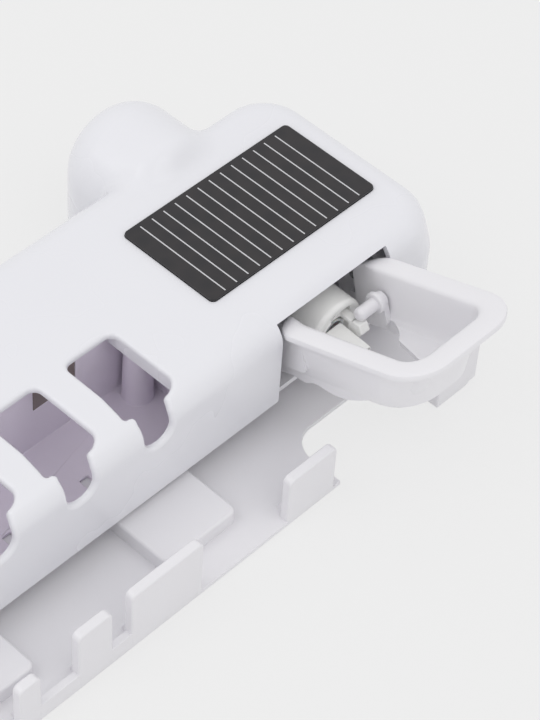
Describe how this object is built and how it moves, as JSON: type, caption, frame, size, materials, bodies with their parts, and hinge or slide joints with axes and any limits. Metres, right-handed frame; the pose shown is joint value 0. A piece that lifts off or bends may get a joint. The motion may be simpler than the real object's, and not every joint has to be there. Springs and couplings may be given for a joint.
{
  "type": "toothpaste dispenser",
  "caption": "Wall-mounted toothpaste dispenser: long rounded housing with brush slots, hooded tube bay, push bowl pump, solar panel and magnetic pad plate.",
  "frame": {"origin": "centre of the wall plate's back face", "axes": "+Z out of the wall, towards the product's front; +Y up; +X towards the dispenser end"},
  "size_m": [0.324, 0.187, 0.0687],
  "materials": {
    "shell": "satin white",
    "plate": "satin white",
    "grey_plastic": "pale grey, satin",
    "ivory": "ivory, satin",
    "panel": "coated, nearly black",
    "clear": "clear",
    "board": "green laminate",
    "lamp": "yellow",
    "dark": "black",
    "cell": "blue film",
    "rubber": "dark",
    "silicone": "milky",
    "foam": "black foam",
    "steel": "bright",
    "magnet": "nickel plated"
  },
  "bodies": {
    "mount": {"wall_plate": "plate", "pad_magnets": "magnet"},
    "housing": {"front_shell": "shell", "rear_cover": "plate", "cover_screws": "steel", "brush_tray": "grey_plastic", "lamp_windows": "clear", "lamp_boards": "board", "lamp_diodes": "lamp", "solar_panel": "panel", "panel_gasket": "foam", "battery_cell": "cell", "battery_cradle": "plate", "control_board": "board", "board_parts": "dark", "tube_socket": "ivory", "tube_seal": "rubber", "pump_head": "ivory", "pump_sleeve": "silicone", "nozzle_tongue": "ivory", "hinge_pins": "steel", "return_spring": "steel"},
    "bowl": {"push_bowl": "shell", "drive_pin": "shell"},
    "slider": {"press_slider": "ivory"}
  },
  "joints": [
    {"name": "lift_off", "type": "slide", "parent": "mount", "child": "housing", "axis": [0, 1, 0], "range_m": [0, 0.009]},
    {"name": "bowl_push", "type": "hinge", "parent": "housing", "child": "bowl", "pos_m": [0.1024, -0.01427, 0.03257], "axis": [1, 0, 0], "range_deg": [0, 14], "stiffness_Nm_per_rad": 0.6, "springref_deg": -5.73, "deforming": ["return_spring"]},
    {"name": "slider_press", "type": "slide", "parent": "housing", "child": "slider", "axis": [0, 0, 1], "range_m": [-0.0046, 0], "deforming": ["pump_sleeve"]}
  ],
  "couplings": [
    {"joint": "slider_press", "follows": "bowl_push", "m_per_rad": -0.0185}
  ]
}
